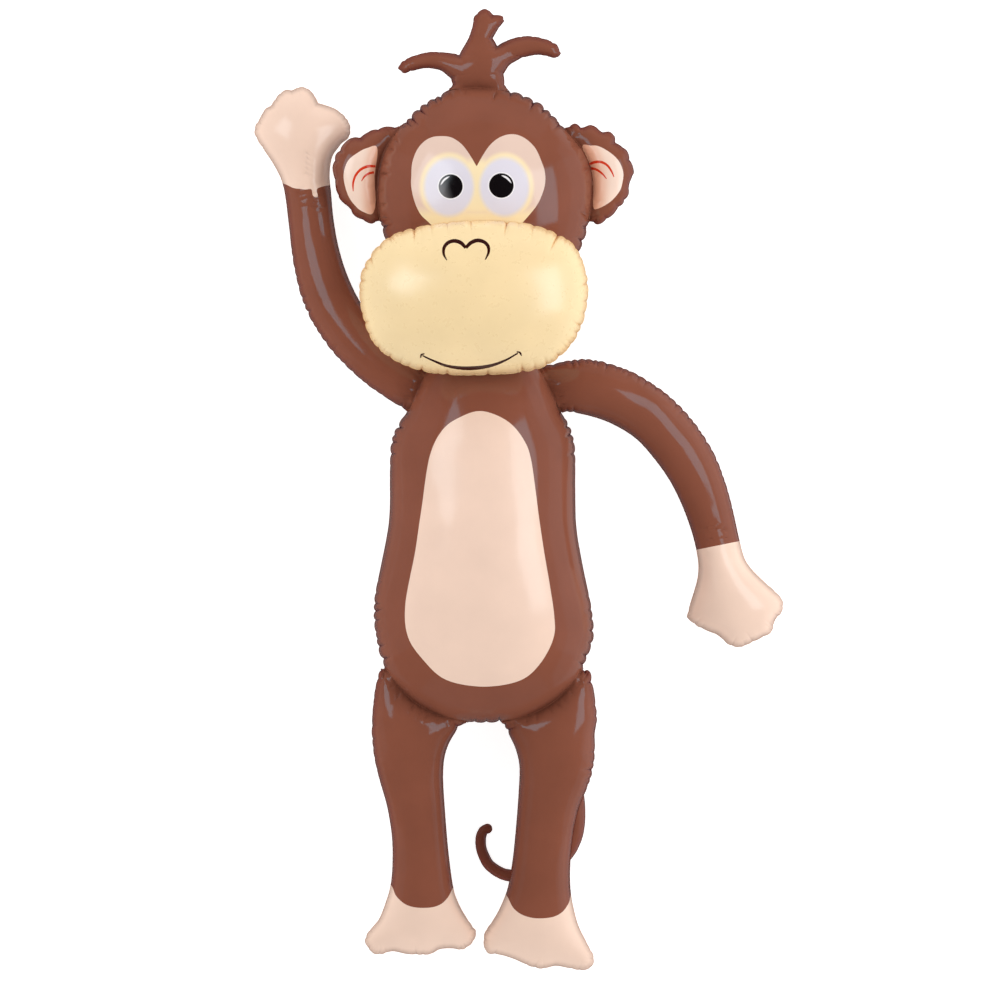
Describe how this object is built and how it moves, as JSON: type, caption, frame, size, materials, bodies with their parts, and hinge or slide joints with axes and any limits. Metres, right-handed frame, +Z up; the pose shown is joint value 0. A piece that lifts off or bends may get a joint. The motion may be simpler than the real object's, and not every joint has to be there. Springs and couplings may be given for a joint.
{
  "type": "inflatable monkey",
  "caption": "Blow-up vinyl monkey lying face up: pillow torso and head, welded-on muzzle, ears, hair tuft, bent tube arms, legs and a curled tail.",
  "frame": {"origin": "middle of the underside: the centre of the bounding box in plan, on the floor that the monkey lies on", "axes": "+Y towards the top of the head, +X to the right for someone looking down at the face, +Z up out of the face and belly"},
  "size_m": [0.635, 1.155, 0.2348],
  "materials": {
    "brown_film": "semi-gloss printed PVC film, brown with skin-coloured belly, hands, feet and ear linings",
    "cream_film": "semi-gloss printed PVC film, cream",
    "valve_plastic": "soft moulded vinyl, off-white"
  },
  "bodies": {
    "root": {"torso": "brown_film", "head": "brown_film", "muzzle": "cream_film", "ear_left": "brown_film", "ear_right": "brown_film", "hair_tuft": "brown_film", "arm_raised": "brown_film", "arm_lowered": "brown_film", "leg_left": "brown_film", "leg_right": "brown_film", "tail": "brown_film", "inflation_valve": "valve_plastic"}
  },
  "joints": []
}
